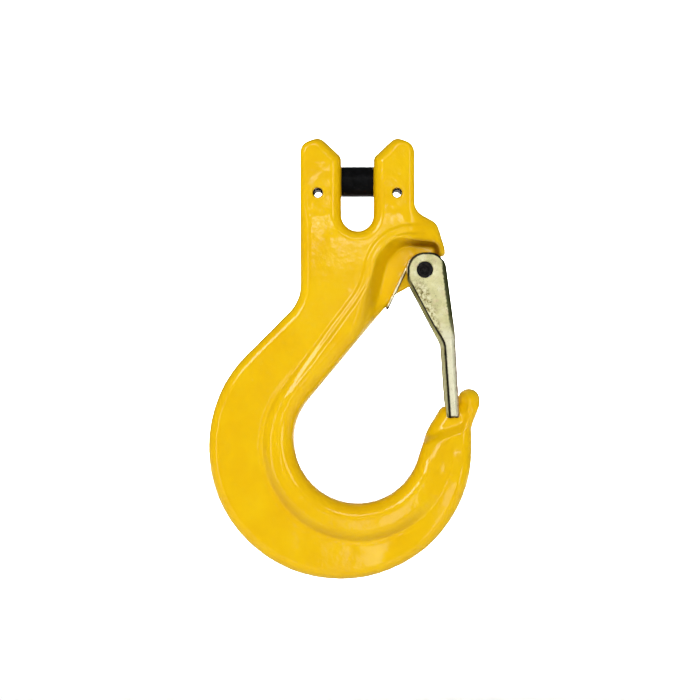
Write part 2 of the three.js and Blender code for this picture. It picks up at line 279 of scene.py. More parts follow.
def smooth_cut(field, cutter, edge):
    """The field with a cutter's inside taken away, its edge rounded by about the width given."""
    blend = np.maximum(edge - np.abs(field + cutter), 0) / edge
    return np.maximum(field, -cutter) + blend * blend * edge / 4


class Grid:
    """Regular samples over a box, as axes that broadcast over (x, y, z)."""

    def __init__(self, low, high, step):
        self.low = np.array(low, float)
        self.step = step
        counts = np.ceil((np.array(high) - self.low) / step).astype(int) + 1
        x, y, z = (self.low[i] + step * np.arange(counts[i]) for i in range(3))
        self.x, self.y, self.z = x[:, None, None], y[None, :, None], z[None, None, :]
        self.flat_x, self.flat_z = np.meshgrid(x, z, indexing="ij")

    def sample(self, field, points):
        """Trilinear values of a field at points."""
        place = (points - self.low) / self.step
        cell = np.clip(np.floor(place).astype(int), 0, np.array(field.shape) - 2)
        t = place - cell
        total = np.zeros(len(points))
        for offset in np.ndindex(2, 2, 2):
            weight = np.prod([t[:, i] if offset[i] else 1 - t[:, i] for i in range(3)], axis=0)
            total += weight * field[tuple(cell[:, i] + offset[i] for i in range(3))]
        return total

    def gradient(self, field, points):
        """The slope of a field at points, over half a step each way."""
        slopes = []
        for axis in np.eye(3) * self.step / 2:
            slopes.append(self.sample(field, points + axis) - self.sample(field, points - axis))
        return np.column_stack(slopes) / self.step

    def surface(self, field):
        """Vertices and outward quads of the field's zero surface, by surface nets."""
        cells = tuple(n - 1 for n in field.shape)

        def corner(array, offset):
            return array[tuple(slice(o, o + n) for o, n in zip(offset, cells))]

        inside = field < 0
        count = sum(corner(inside, o).astype(np.int8) for o in np.ndindex(2, 2, 2))
        mixed = (count > 0) & (count < 8)
        number = np.full(cells, -1)
        number[mixed] = np.arange(mixed.sum())
        start = np.argwhere(mixed).astype(float)
        total, hits = np.zeros((len(start), 3)), np.zeros(len(start))
        for axis in range(3):
            for other in np.ndindex(2, 2):
                near = list(other)
                near.insert(axis, 0)
                far = list(other)
                far.insert(axis, 1)
                a, b = corner(field, near)[mixed], corner(field, far)[mixed]
                crossed = (a < 0) != (b < 0)
                t = np.where(crossed, a / np.where(crossed, a - b, 1), 0)
                spot = np.tile(np.array(near, float), (len(start), 1))
                spot[:, axis] = t
                total += np.where(crossed[:, None], spot, 0)
                hits += crossed
        vertices = self.low + self.step * (start + total / hits[:, None])
        quads = []
        for axis in range(3):
            first, second = (axis + 1) % 3, (axis + 2) % 3
            here = [slice(None)] * 3
            ahead = [slice(None)] * 3
            here[axis], ahead[axis] = slice(0, -1), slice(1, None)
            flips = inside[tuple(here)] != inside[tuple(ahead)]
            edges = np.argwhere(flips)
            edges = edges[(edges[:, first] > 0) & (edges[:, second] > 0)]
            around = []
            for back_first, back_second in ((1, 1), (0, 1), (0, 0), (1, 0)):
                cell = edges.copy()
                cell[:, first] -= back_first
                cell[:, second] -= back_second
                around.append(number[tuple(cell.T)])
            quad = np.column_stack(around)
            leaving = inside[tuple(edges.T)]
            quads.append(np.where(leaving[:, None], quad, quad[:, ::-1]))

        # A few short steps down the slope bring the vertices onto the zero surface.
        for _ in range(3):
            slope = self.gradient(field, vertices)
            size = np.maximum((slope ** 2).sum(1), 1e-3)
            shift = -self.sample(field, vertices)[:, None] * slope / size[:, None]
            vertices = vertices + np.clip(shift, -self.step / 2, self.step / 2)
        return vertices, np.concatenate(quads)


def mesh_object(name, vertices, faces, sharp_degrees=None):
    """A smooth-shaded object from millimetre vertices and faces."""
    mesh = bpy.data.meshes.new(name)
    mesh.from_pydata((np.asarray(vertices) * MM).tolist(), [], [list(f) for f in faces])
    mesh.validate()
    mesh.shade_smooth()
    if sharp_degrees:
        mesh.set_sharp_from_angle(angle=math.radians(sharp_degrees))
    piece = bpy.data.objects.new(name, mesh)
    bpy.context.scene.collection.objects.link(piece)
    return piece


def add_attribute(piece, name, values):
    """A value for each vertex, which the piece's material reads by its name."""
    attribute = piece.data.attributes.new(name, "FLOAT", "POINT")
    attribute.data.foreach_set("value", np.asarray(values, np.float32))


def roughened(vertices, normals, layers):
    """Vertices moved along their normals by layers of smooth noise, each (size, height)."""
    shift = np.zeros(len(vertices))
    for size, height in layers:
        shift += height * np.array([noise.noise(Vector(v / size)) for v in vertices])
    return vertices + normals * shift[:, None]


# ---- Hook body ----


def body_outline():
    """The forging's side view: slot, right ear, shoulder, boss, throat, nose, bowl, left ear."""
    ear, slot = EAR_SIDE, SLOT_HALF
    return outline([
        (-slot, 9.4, 3),
        {"x": 0, "z": -14.2, "radius": slot, "turn": 1},
        (slot, 9.4, 3),
        (15.4, 17.6, 3.5),
        (ear, 14.6, 5),
        (ear, -12.4, 6),
        (32.7, -17.2, 6),
        (36, -28, 6),
        (36, SHOULDER_Z, 1.3),
        (33.9, SHOULDER_Z, 0.6),
        {**BOSS, "turn": -1},
        (22.2, -43, 5),
        (16, -46.4, 4),
        {**SEAT, "turn": 1},
        (28.3, -102.6, 30),
        (34.4, -92.6, 3),
        (41, -91.6, 1.2),
        {**TIP, "turn": -1},
        (50.1, -92.6, 4),
        (46.9, -101, 12),
        {**BOWL, "turn": -1},
        (-ear, -49.4, 16),
        (-ear, 14.6, 5),
        (-15.4, 17.6, 3.5),
    ])


def ledge_outline():
    """Where the flat face ends and the first step up towards the crest begins."""
    return outline([
        (PAST_THROAT, -17.4, 0),
        (6.2, -18.4, 20),
        (0.6, -43.5, 25),
        {"x": 0.3, "z": -108.2, "radius": 38.8, "turn": 1},
        (39, -100, 12),
        (PAST_THROAT, -80, 0),
    ])


def crest_outline():
    """Where the second step, from the ledge to the crest, begins."""
    return outline([
        (PAST_THROAT, -22.2, 0),
        (9.3, -21.6, 16),
        (3.2, -44, 22),
        {"x": 0.8, "z": -108.5, "radius": 35.9, "turn": 1},
        (39, -104, 8),
        (PAST_THROAT, -80, 0),
    ])


def pocket_outline():
    """The foot of the pocket around the boss: open to the throat, with a rim at its upper right."""
    return outline([
        (PAST_THROAT, SHOULDER_Z - 2, 0),
        (32.2, SHOULDER_Z - 2, 0),
        (32.2, -26.6, 2),
        (17.5, -25.6, 8),
        (11, -32.5, 9),
        (3.6, -60.5, 0),
        (PAST_THROAT, -62, 0),
    ])


def nose_outline():
    """The shelf on each side of the nose, which the latch's cheeks straddle."""
    return outline([
        (24, -106, 0),
        (43.2, -100, 3),
        (43.6, -91, 4),
        (41, -80, 0),
        (24, -80, 0),
    ])


def body_field(grid):
    """The forging: a side view whose half height varies, less the bores for its pins."""
    x, z = grid.flat_x, grid.flat_z
    side = distance_to(body_outline(), x, z)
    ledge = distance_to(ledge_outline(), x, z)
    crest = distance_to(crest_outline(), x, z)
    pocket = distance_to(pocket_outline(), x, z)
    shelf = distance_to(nose_outline(), x, z)

    # Two crisp steps beside the pocket become one rounded bead around the bowl, with a crisp
    # foot. It fades out on the way up to the nose.
    in_bowl = ramp(-z, *BEAD_DEPTHS)
    rise = CREST_HALF - FLAT_HALF
    steps = LEDGE_RISE * ramp(-ledge, *STEP_WALL) + (rise - LEDGE_RISE) * ramp(-crest, *STEP_WALL)
    bead = rise * (1 - (1 - np.clip(-ledge / BEAD_SLOPE, 0, 1)) ** BEAD_ROUNDNESS)
    past_seat = x - FADE_TILT * (z - SEAT["z"])
    kept = 1 - ramp(past_seat, *FADE_ACROSS) * ramp(-z, *FADE_DEPTHS)
    raised = steps + (bead - steps) * in_bowl
    height = FLAT_HALF + kept * raised + NOSE_RISE * (1 - kept)

    # A shallow hollow runs along the foot of the bead, where it meets the flange.
    height = height - BEAD_FOOT_DEPTH * kept * in_bowl * hump(ledge, 0.4, 0.9)

    # The nose thins towards its tip.
    height = height - (height - TIP_HALF) * ramp(z + 0.3 * (x - 40), -124, -100) * ramp(x, 20, 32)
    height = height - np.maximum(height - NOSE_HALF, 0) * ramp(-shelf, -3.2, 1.4)

    # The pocket's wall is steep below the shoulder and leans out to the left. Its floor rises
    # where it runs out at the throat's edge.
    towards_edge = RUN_OUT_WAY[0] * (PIVOT_X - x) + RUN_OUT_WAY[1] * (PIVOT_Z - z)
    run_out = ramp(towards_edge, *RUN_OUT_RANGE)
    lean = WALL_LEAN + WALL_LEAN_LEFT * (1 - ramp(x, 13, 23)) + WALL_LEAN_OUT * run_out
    in_pocket = ramp((-pocket + lean) / (WALL_WIDTH * lean), 0, 1)
    from_pivot = np.hypot(x - PIVOT_X, z - PIVOT_Z)
    in_pocket = np.maximum(in_pocket, 1 - ramp(from_pivot, HEAD_RADIUS + GAP, HEAD_RADIUS + 3 * GAP))
    floor = BOSS_HALF + POCKET_RUN_OUT * run_out
    height = height - (height - floor) * in_pocket

    # Rounding of the edges: tight on the outside of the ears, wide around the bowl's inside.
    in_throat = ramp(-crest, -1, 2) * (1 - ramp(z, -50, -40))
    radius = FLANGE_EDGE + (THROAT_EDGE - FLANGE_EDGE) * in_throat
    at_ears = ramp(z, -20, -8)
    ear_radius = EAR_INNER_EDGE - (EAR_INNER_EDGE - EAR_OUTER_EDGE) * ramp(np.abs(x), 14, 19)
    radius = radius + at_ears * (ear_radius - radius)
    radius = radius - (radius - POCKET_EDGE) * ramp(-pocket, -1.5, 0.5) * (1 - run_out)
    radius = np.minimum(radius, height - LEAST_SIDE)

    field = rounded_slab(side, height, radius, grid.y)
    pin_bore = np.hypot(grid.y, grid.z) - (PIN_RADIUS + GAP)
    pin_bore = np.maximum(pin_bore, np.abs(grid.x) - EAR_SIDE - PAST_EARS)
    field = smooth_cut(field, pin_bore, BORE_EDGE)
    for across in (-RETAINER_X, RETAINER_X):
        hole = np.hypot(grid.x - across, grid.z - RETAINER_Z) - (RETAINER_RADIUS + FIT)
        field = smooth_cut(field, hole + 0 * grid.y, SMALL_BORE_EDGE)
    pivot_bore = np.hypot(grid.x - PIVOT_X, grid.z - PIVOT_Z) - (PIVOT_RADIUS + FIT)
    return smooth_cut(field, pivot_bore + 0 * grid.y, SMALL_BORE_EDGE)


def hook_body():
    """The one forging that everything else is fixed to."""
    margin = 1.5
    grid = Grid(body_low - margin, body_high + margin, BODY_STEP)
    field = body_field(grid)
    vertices, quads = grid.surface(field)
    slope = grid.gradient(field, vertices)
    normals = slope / np.linalg.norm(slope, axis=1)[:, None]
    vertices = roughened(vertices, normals, FORGED_SKIN)
    piece = mesh_object("forged_hook_body", vertices, quads)

    # Painted shade: the paint colour is darkened under the pocket's upper wall, on its floor and low on
    # the bead's slope, where shade falls.
    x, z = vertices[:, 0], vertices[:, 2]
    from_foot = distance_to(pocket_outline(), x, z)
    from_ledge = distance_to(ledge_outline(), x, z)
    pocket_wall = hump(from_foot, 0.3, 1.4) * ramp(x, 15, 25) * ramp(-z, 20, 24)
    pocket_floor = 0.16 * ramp(-from_foot, 0, 2) * ramp(x, 10, 20)
    bead_slope = 0.2 * hump(from_ledge, -1.6, 1.7) * ramp(-z, 95, 130) * (1 - ramp(x, 20, 34))
    add_attribute(piece, "in_shade", np.maximum(np.maximum(pocket_wall, pocket_floor), bead_slope))
    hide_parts("hook_body")
    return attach(piece, "hook")


# ---- Latch ----


def latch_outline():
    """The latch's side view: a round head on the pivot, and an arm that reaches the nose."""
    left = PIVOT_X - HEAD_RADIUS
    return outline([
        (left, LATCH_TOP_Z, HEAD_RADIUS),
        (WEB_TOP[0] - 1, LATCH_TOP_Z, HEAD_RADIUS),
        (*WEB_TOP, 20),
        (*WEB_KNEE, 40),
        (WEB_END[0], LATCH_END_Z, 1),
        (LEFT_END_X, LATCH_END_Z, 1),
        (*LEFT_KNEE, 5),
        (left, LEFT_NECK_Z, 3),
    ])


def latch_hollow_outline():
    """The space between the cheeks, open to the throat and at both ends of the web."""
    inner = WEB_END[0] - SHEET
    past_left, past_head, past_arm = 5, -20, LATCH_END_Z - 10
    return outline([
        (past_left, past_head, 0),
        (WEB_TOP[0] - SHEET, past_head, 0),
        (WEB_TOP[0] - SHEET, WEB_TOP[1], 20),
        (WEB_KNEE[0] - SHEET, WEB_KNEE[1], 40),
        (inner, LATCH_END_Z, 0),
        (inner, past_arm, 0),
        (past_left, past_arm, 0),
    ])


def latch_left_outline():
    """Everything to the right of the latch's left edge."""
    left = PIVOT_X - HEAD_RADIUS
    past_arm = LATCH_END_Z - 20
    return outline([
        (left, 0, 0),
        (left, LEFT_NECK_Z, 3),
        (*LEFT_KNEE, 5),
        (LEFT_END_X, LATCH_END_Z, 0),
        (LEFT_END_X, past_arm, 0),
        (PAST_THROAT, past_arm, 0),
        (PAST_THROAT, 0, 0),
    ])


def left_of_crease(x, z):
    """Distance to the left of the crease that runs down the cheek."""
    dx, dz = CREASE_END[0] - CREASE_TOP[0], CREASE_END[1] - CREASE_TOP[1]
    return ((x - CREASE_TOP[0]) * dz - (z - CREASE_TOP[1]) * dx) / math.hypot(dx, dz)


def latch_field(grid):
    """The folded sheet: a solid with the latch's outside, less the space between its cheeks."""
    x, z = grid.flat_x, grid.flat_z
    side = distance_to(latch_outline(), x, z)
    hollow = distance_to(latch_hollow_outline(), x, z)
    from_left = -distance_to(latch_left_outline(), x, z)

    # The cheeks lean in from the head to the knee, with a small step down to the arm, and the
    # part to the left of the crease folds in further.
    past_knee = ramp(-z, KNEE_Z, KNEE_Z + KNEE_STEP)
    height = HEAD_HALF - CHEEK_LEAN * np.clip((-z - LEAN_START) / (KNEE_Z - LEAN_START), 0, 1)
    folded = np.maximum(left_of_crease(x, z), 0) * ramp(-z, *FOLD_START)
    above_knee = 1 - ramp(-z, KNEE_Z - 2, KNEE_Z + 2)
    height = height - np.minimum(FOLD_SLOPE * folded, FOLD_DEPTH) * above_knee
    height = height - (height - ARM_HALF) * past_knee

    # The left edge is curled in: a narrow strip set back from the face.
    curl = CURL_HEAD + (CURL_ARM - CURL_HEAD) * ramp(-z, KNEE_Z - 8, KNEE_Z)
    height = height - CURL_DEPTH * ramp(-z, 40, 45) * (1 - ramp(from_left, curl - 0.3, curl + 0.3))

    # The bend into the web is a wide round, and the cut edges are only just broken.
    radius = CUT_EDGE + (WEB_BEND - CUT_EDGE) * ramp(hollow, -3, 0.5)
    field = rounded_slab(side, height, radius, grid.y)
    inner_height = np.minimum(height - SHEET + THINNED, HEAD_HALF - SHEET)
    inner_radius = np.full(x.shape, INNER_BEND)
    inside = rounded_slab(hollow, inner_height, inner_radius, grid.y)
    field = smooth_cut(field, inside, STAMPED_EDGE)
    below_web = np.maximum(grid.z - WEB_END[1], np.abs(grid.y) - (ARM_HALF - SHEET)) + 0 * grid.x
    field = smooth_cut(field, below_web, WEB_EDGE)
    above_web = np.maximum(SHOULDER_Z - 1 - grid.z, np.abs(grid.y) - (HEAD_HALF - SHEET)) + 0 * grid.x
    field = smooth_cut(field, above_web, WEB_EDGE)
    bore = np.hypot(grid.x - PIVOT_X, grid.z - PIVOT_Z) - (PIVOT_RADIUS + FIT)
    return smooth_cut(field, bore + 0 * grid.y, STAMPED_EDGE)


def latch():
    """The stamped latch, with the measures that place its material's colours and painted shade."""
    margin = 1.2
    grid = Grid(latch_low - margin, latch_high + margin, LATCH_STEP)
    field = latch_field(grid)
    vertices, quads = grid.surface(field)
    slope = grid.gradient(field, vertices)
    normals = slope / np.maximum(np.linalg.norm(slope, axis=1), 1e-6)[:, None]
    vertices = roughened(vertices, normals, STAMPED_SKIN)
    piece = mesh_object("stamped_latch", vertices, quads)
    x, z = vertices[:, 0], vertices[:, 2]
    add_attribute(piece, "rim_mm", -distance_to(latch_outline(), x, z))
    add_attribute(piece, "left_mm", -distance_to(latch_left_outline(), x, z))
    add_attribute(piece, "web_mm", distance_to(latch_hollow_outline(), x, z))
    add_attribute(piece, "fold_mm", left_of_crease(x, z))
    add_attribute(piece, "down_mm", -z)
    add_attribute(piece, "across_mm", np.abs(vertices[:, 1]))
    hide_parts("latch")
    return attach(piece, "latch")


# ---- Pins ----

CRISP_DEGREES = 35                      # edges sharper than this stay crisp


def turned(name, profile, sides=96):
    """A solid turned about X from a profile of (x, radius) points that starts and ends at 0."""
    profile = np.array(profile, float)
    angles = np.linspace(0, 2 * math.pi, sides, endpoint=False)
    rings = profile[1:-1]
    vertices = [(profile[0][0], 0, 0), (profile[-1][0], 0, 0)]
    for x, radius in rings:
        vertices += [(x, radius * math.sin(a), radius * math.cos(a)) for a in angles]
    faces = []
    for ring in range(len(rings) - 1):
        for i in range(sides):
            a, b = 2 + ring * sides + i, 2 + ring * sides + (i + 1) % sides
            faces.append((a, a + sides, b + sides, b))
    last = 2 + (len(rings) - 1) * sides
    for i in range(sides):
        faces.append((0, 2 + i, 2 + (i + 1) % sides))
        faces.append((1, last + (i + 1) % sides, last + i))
    return mesh_object(name, vertices, faces, sharp_degrees=CRISP_DEGREES)


def load_pin():
    """The pin across the clevis: chamfered ends with a shallow centre mark, and two grooves."""
    groove = RETAINER_RADIUS + GAP
    mouth = math.acos((PIN_RADIUS + RETAINER_Z) / groove)
    half = [(PIN_HALF - 1.1, 0), (PIN_HALF - 0.5, 1.3), (PIN_HALF - 0.1, 1.6), (PIN_HALF, 2.2)]
    half += [(PIN_HALF, PIN_RADIUS - 1.0), (PIN_HALF - 0.25, PIN_RADIUS - 0.45)]
    half += [(PIN_HALF - 0.9, PIN_RADIUS)]
    for angle in np.linspace(mouth, 2 * math.pi - mouth, 24):
        half.append((RETAINER_X + groove * math.sin(angle), -RETAINER_Z + groove * math.cos(angle)))
    half += [(x, PIN_RADIUS) for x in (10, 5)]  # plain rings along the middle
    left = [(-x, radius) for x, radius in half]
    piece = turned("clevis_load_pin", left + half[::-1])
    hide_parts("load_pin")
    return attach(piece, "load_pin")


def rolled_pin(name, x, z, radius, bore, half, slot_degrees):
    """A pin rolled from strip along Y, with its long slot open and its ends chamfered."""
    sides = 56
    chamfer = 0.35
    first = math.radians(slot_degrees / 2)
    last = math.radians(360 - slot_degrees / 2)
    section = [(bore, -half), (radius - chamfer, -half), (radius, -half + 2 * chamfer)]
    section += [(radius, half - 2 * chamfer), (radius - chamfer, half), (bore, half)]
    vertices = []
    for angle in np.linspace(first, last, sides):
        for r, y in section:
            vertices.append((x + r * math.cos(angle), y, z + r * math.sin(angle)))
    n = len(section)
    faces = []
    for i in range(sides - 1):
        for j in range(n):
            a, b = i * n + j, i * n + (j + 1) % n
            faces.append((a, a + n, b + n, b))
    faces.append(tuple(range(n)))
    faces.append(tuple(reversed(range((sides - 1) * n, sides * n))))
    return mesh_object(name, vertices, faces, sharp_degrees=CRISP_DEGREES)


def small_pins():
    """The rolled pins that retain the load pin, and the latch's pivot with dished ends."""
    pins = []
    for node, across in (("retaining_pin_left", -RETAINER_X), ("retaining_pin_right", RETAINER_X)):
        pin = rolled_pin(f"rolled_{node}", across, RETAINER_Z, RETAINER_RADIUS, RETAINER_BORE,
                         RETAINER_HALF - RETAINER_INSET, RETAINER_SLOT_DEGREES)
        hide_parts(node)
        pins.append(pin)
    dish = [(1.7, 0), (1.6, 0.9), (0.9, 1.3), (0.9, 1.5), (0.15, 2.0), (0, 2.3)]
    edge = [(0, 2.75), (0.12, 3.0), (0.5, PIVOT_RADIUS)]
    half = [(PIVOT_HALF - depth, radius) for depth, radius in dish + edge]
    pivot = turned("riveted_latch_pivot", [(-y, r) for y, r in half] + half[::-1])
    across_the_hook = Matrix.Rotation(math.pi / 2, 4, "Z")
    pivot.data.transform(Matrix.Translation(Vector((PIVOT_X, 0, PIVOT_Z)) * MM) @ across_the_hook)
    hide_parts("latch_pivot_pin")
    pins.append(pivot)
    for pin in pins:
        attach(pin, "hook")
    return pins


# ---- Spring ----


def on_coil(angle, y):
    """A point of the coils, by its angle round their centre and its place across the hook."""
    x = COIL["x"] + COIL["radius"] * math.cos(angle)
    return np.array([x, y, COIL["z"] + COIL["radius"] * math.sin(angle)])


def spring_path():
    """One wire: web, front coil, front leg, bail across the throat edge, and back behind."""
    start = contact_angle(COIL, PUSH_END, 1)
    end = contact_angle(COIL, BAIL, -1) + 2 * math.pi * COIL_TURNS
    push_end = np.array([PUSH_END[0], -COIL_OUTER_Y, PUSH_END[1]])
    coil_start = on_coil(start, -COIL_OUTER_Y)
    front = [(1 - t) * push_end + t * coil_start for t in np.linspace(0, 1, 8)[:-1]]
    for t in np.linspace(0, 1, 120):
        y = -COIL_OUTER_Y + (COIL_OUTER_Y - COIL_INNER_Y) * t
        front.append(on_coil(start + (end - start) * t, y))

    # The leg runs straight to the throat's edge, and turns into the bail by a small bend.
    top = front[-1]
    foot = np.array([BAIL[0], -COIL_INNER_Y, BAIL[1]])
    bend = 1.2
    leg = np.linalg.norm(foot - top)
    front += [top + (foot - top) * t for t in np.linspace(0, 1 - bend / leg, 12)[1:]]
    near = front[-1]
    past = np.array([BAIL[0], -COIL_INNER_Y + bend, BAIL[1]])
    for t in np.linspace(0, 1, 7)[1:]:
        front.append((1 - t) ** 2 * near + 2 * t * (1 - t) * foot + t * t * past)
    back = [point * (1, -1, 1) for point in reversed(front)]
    middle = [np.array([BAIL[0], y, BAIL[1]]) for y in (-1.6, 0, 1.6)]
    return np.array(front + middle + back)


def wire_mesh(name, path, radius, sides=14):
    """A round wire swept along a path, with rounded ends, its section carried without twist."""
    tangents = np.gradient(path, axis=0)
    tangents /= np.linalg.norm(tangents, axis=1)[:, None]
    across = np.cross(tangents[0], (0, 1, 0))
    angles = np.linspace(0, 2 * math.pi, sides, endpoint=False)
    ends = [(-radius, 0.02), (-0.85 * radius, 0.5), (-0.45 * radius, 0.87)]
    stations = [(path[0] + tangents[0] * shift, tangents[0], size) for shift, size in ends]
    stations += [(p, t, 1) for p, t in zip(path, tangents)]
    stations += [(path[-1] - tangents[-1] * shift, tangents[-1], size) for shift, size in reversed(ends)]
    vertices = []
    for place, tangent, size in stations:
        across = across - tangent * (across @ tangent)
        across /= np.linalg.norm(across)
        other = np.cross(tangent, across)
        for a in angles:
            vertices.append(place + radius * size * (math.cos(a) * across + math.sin(a) * other))
    faces = []
    for ring in range(len(stations) - 1):
        for i in range(sides):
            a, b = ring * sides + i, ring * sides + (i + 1) % sides
            faces.append((a, b, b + sides, a + sides))
    faces.append(tuple(reversed(range(sides))))
    faces.append(tuple(range((len(stations) - 1) * sides, len(stations) * sides)))
    centres = np.repeat([place for place, _, _ in stations], sides, axis=0)
    piece = mesh_object(name, vertices, faces)
    add_attribute(piece, "under", (centres - np.array(vertices))[:, 2] / radius)
    add_attribute(piece, "across_mm", np.abs(centres[:, 1]))
    return piece


def latch_spring():
    """The spring, as one wire with its placement baked into the mesh."""
    piece = wire_mesh("latch_spring_wire", spring_path(), WIRE_RADIUS)
    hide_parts("latch_spring")
    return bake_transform(piece)


# ---- Materials ----


class Nodes:
    """A material's node tree, with short ways to add the nodes used here."""

    def __init__(self, name):
        self.material = bpy.data.materials.new(name)
        self.material.use_nodes = True
        self.tree = self.material.node_tree
        self.shader = self.tree.nodes["Principled BSDF"]
        self.coordinates = self.add("ShaderNodeTexCoord").outputs["Object"]

    def add(self, kind, **settings):
        """A new node, with its settings."""
        node = self.tree.nodes.new(kind)
        for key, value in settings.items():
            setattr(node, key, value)
        return node

    def link(self, source, target):
        self.tree.links.new(source, target)

    def noise(self, size_mm, detail=3, roughness=0.55, stretch=(1, 1, 1)):
        """Noise whose features are about size_mm across, stretched along an axis if wanted."""
        mapping = self.add("ShaderNodeMapping")
        mapping.inputs["Scale"].default_value = stretch
        self.link(self.coordinates, mapping.inputs["Vector"])
        texture = self.add("ShaderNodeTexNoise")
        texture.inputs["Scale"].default_value = 1 / (size_mm * MM)
        texture.inputs["Detail"].default_value = detail
        texture.inputs["Roughness"].default_value = roughness
        self.link(mapping.outputs[0], texture.inputs["Vector"])
        return texture.outputs["Fac"]

    def attribute(self, name, low, high):
        """A mesh attribute, scaled so that low is 0 and high is 1."""
        node = self.add("ShaderNodeAttribute", attribute_name=name)
        scale = self.add("ShaderNodeMapRange")
        scale.inputs["From Min"].default_value = low
        scale.inputs["From Max"].default_value = high
        self.link(node.outputs["Fac"], scale.inputs["Value"])
        return scale.outputs[0]

    def ramp(self, source, stops):
        """A colour or grey ramp from (position, value) stops."""
        node = self.add("ShaderNodeValToRGB")
        elements = node.color_ramp.elements
        while len(elements) < len(stops):
            elements.new(0.5)
        for element, (position, value) in zip(elements, stops):
            element.position = position
            element.color = (*value, 1) if isinstance(value, tuple) else (value, value, value, 1)
        self.link(source, node.inputs[0])
        return node.outputs[0]

    def mix(self, amount, first, second):
        """The first colour at an amount of 0 and the second at 1. Each can be a value or a socket."""
        node = self.add("ShaderNodeMix", data_type="RGBA")
        for value, socket in ((amount, node.inputs[0]), (first, node.inputs[6]), (second, node.inputs[7])):
            if isinstance(value, bpy.types.NodeSocket):
                self.link(value, socket)
            elif isinstance(value, tuple):
                socket.default_value = (*value, 1)
            else:
                socket.default_value = value
        return node.outputs[2]

    def math(self, operation, first, second):
        """An operation on two numbers or sockets."""
        node = self.add("ShaderNodeMath", operation=operation)
        for value, socket in ((first, node.inputs[0]), (second, node.inputs[1])):
            if isinstance(value, bpy.types.NodeSocket):
                self.link(value, socket)
            else:
                socket.default_value = value
        return node.outputs[0]

    def bump(self, height, depth_mm, under=None):
        """A normal bent by a height of up to depth_mm, on top of another bump if one is given."""
        node = self.add("ShaderNodeBump")
        node.inputs["Distance"].default_value = depth_mm * MM
        node.inputs["Strength"].default_value = 1
        self.link(height, node.inputs["Height"])
        if under is not None:
            self.link(under, node.inputs["Normal"])
        return node.outputs["Normal"]

    def finish(self, color, rough, normal, **uniform):
        """The finished material, with its uniform values set directly on the shader."""
        self.link(color, self.shader.inputs["Base Color"])
        self.link(rough, self.shader.inputs["Roughness"])
        self.link(normal, self.shader.inputs["Normal"])
        for key, value in uniform.items():
            self.shader.inputs[key.replace("_", " ")].default_value = value
        return self.material


def powder_coat():
    """Glossy yellow powder coat: uneven thickness, orange peel in patches, fine speckle, and painted shade
    where in_shade is set.
    """
    n = Nodes("yellow_powder_coat_paint")
    thickness = n.noise(14, detail=4)
    color = n.ramp(thickness, [
        (0.3, (0.86, 0.505, 0.0)), (0.5, (0.90, 0.565, 0.0)), (0.72, (0.94, 0.63, 0.001))])
    speckle = n.ramp(n.noise(0.7, detail=2), [(0.34, 0.0), (0.42, 1.0)])
    color = n.mix(n.math("MULTIPLY", speckle, 0.12), n.mix(0.5, color, (0.82, 0.45, 0.0)), color)
    # Painted shade: darker towards a reddish brown in the pocket and low on the bead's slope.
    color = n.mix(n.attribute("in_shade", 0, 1.05), color, (0.15, 0.025, 0.0))
    patches = n.ramp(n.noise(20, detail=2), [(0.42, 0.25), (0.6, 1.0)])
    peel = n.math("MULTIPLY", n.noise(1.5, detail=2, roughness=0.5), patches)
    wave = n.bump(n.noise(5.5, detail=1), 0.06)
    normal = n.bump(peel, 0.07, under=wave)
    n.link(normal, n.shader.inputs["Coat Normal"])
    rough = n.ramp(n.noise(9, detail=3), [(0.3, 0.34), (0.7, 0.42)])
    return n.finish(color, rough, normal, Metallic=0.0, Specular_IOR_Level=0.2,
                    Specular_Tint=(1, 0.8, 0.2, 1), Coat_Weight=0.7, Coat_Roughness=0.09)


def black_oxide():
    """Black oxide on a turned pin: fine rings round X, and dull patches."""
    n = Nodes("black_oxide_steel")
    rings = n.noise(0.35, detail=2, stretch=(1, 0.03, 0.03))
    color = n.ramp(n.noise(3, detail=4), [(0.3, (0.002, 0.002, 0.002)), (0.7, (0.006, 0.006, 0.007))])
    rough = n.ramp(n.noise(2.2, detail=3), [(0.35, 0.32), (0.7, 0.5)])
    normal = n.bump(rings, 0.02, under=n.bump(n.noise(1.5), 0.02))
    return n.finish(color, rough, normal, Metallic=0.05, Specular_IOR_Level=0.05)


def dark_spring_steel():
    """Oiled spring steel: dark, with lengthwise rolling marks."""
    n = Nodes("dark_spring_steel_strip")
    marks = n.noise(0.3, detail=2, stretch=(1, 0.05, 1))
    color = n.ramp(n.noise(1.2, detail=4), [(0.35, (0.008, 0.008, 0.008)), (0.75, (0.03, 0.028, 0.026))])
    rough = n.ramp(n.noise(1.6), [(0.3, 0.5), (0.7, 0.7)])
    return n.finish(color, rough, n.bump(marks, 0.02), Metallic=0.0, Specular_IOR_Level=0.02)


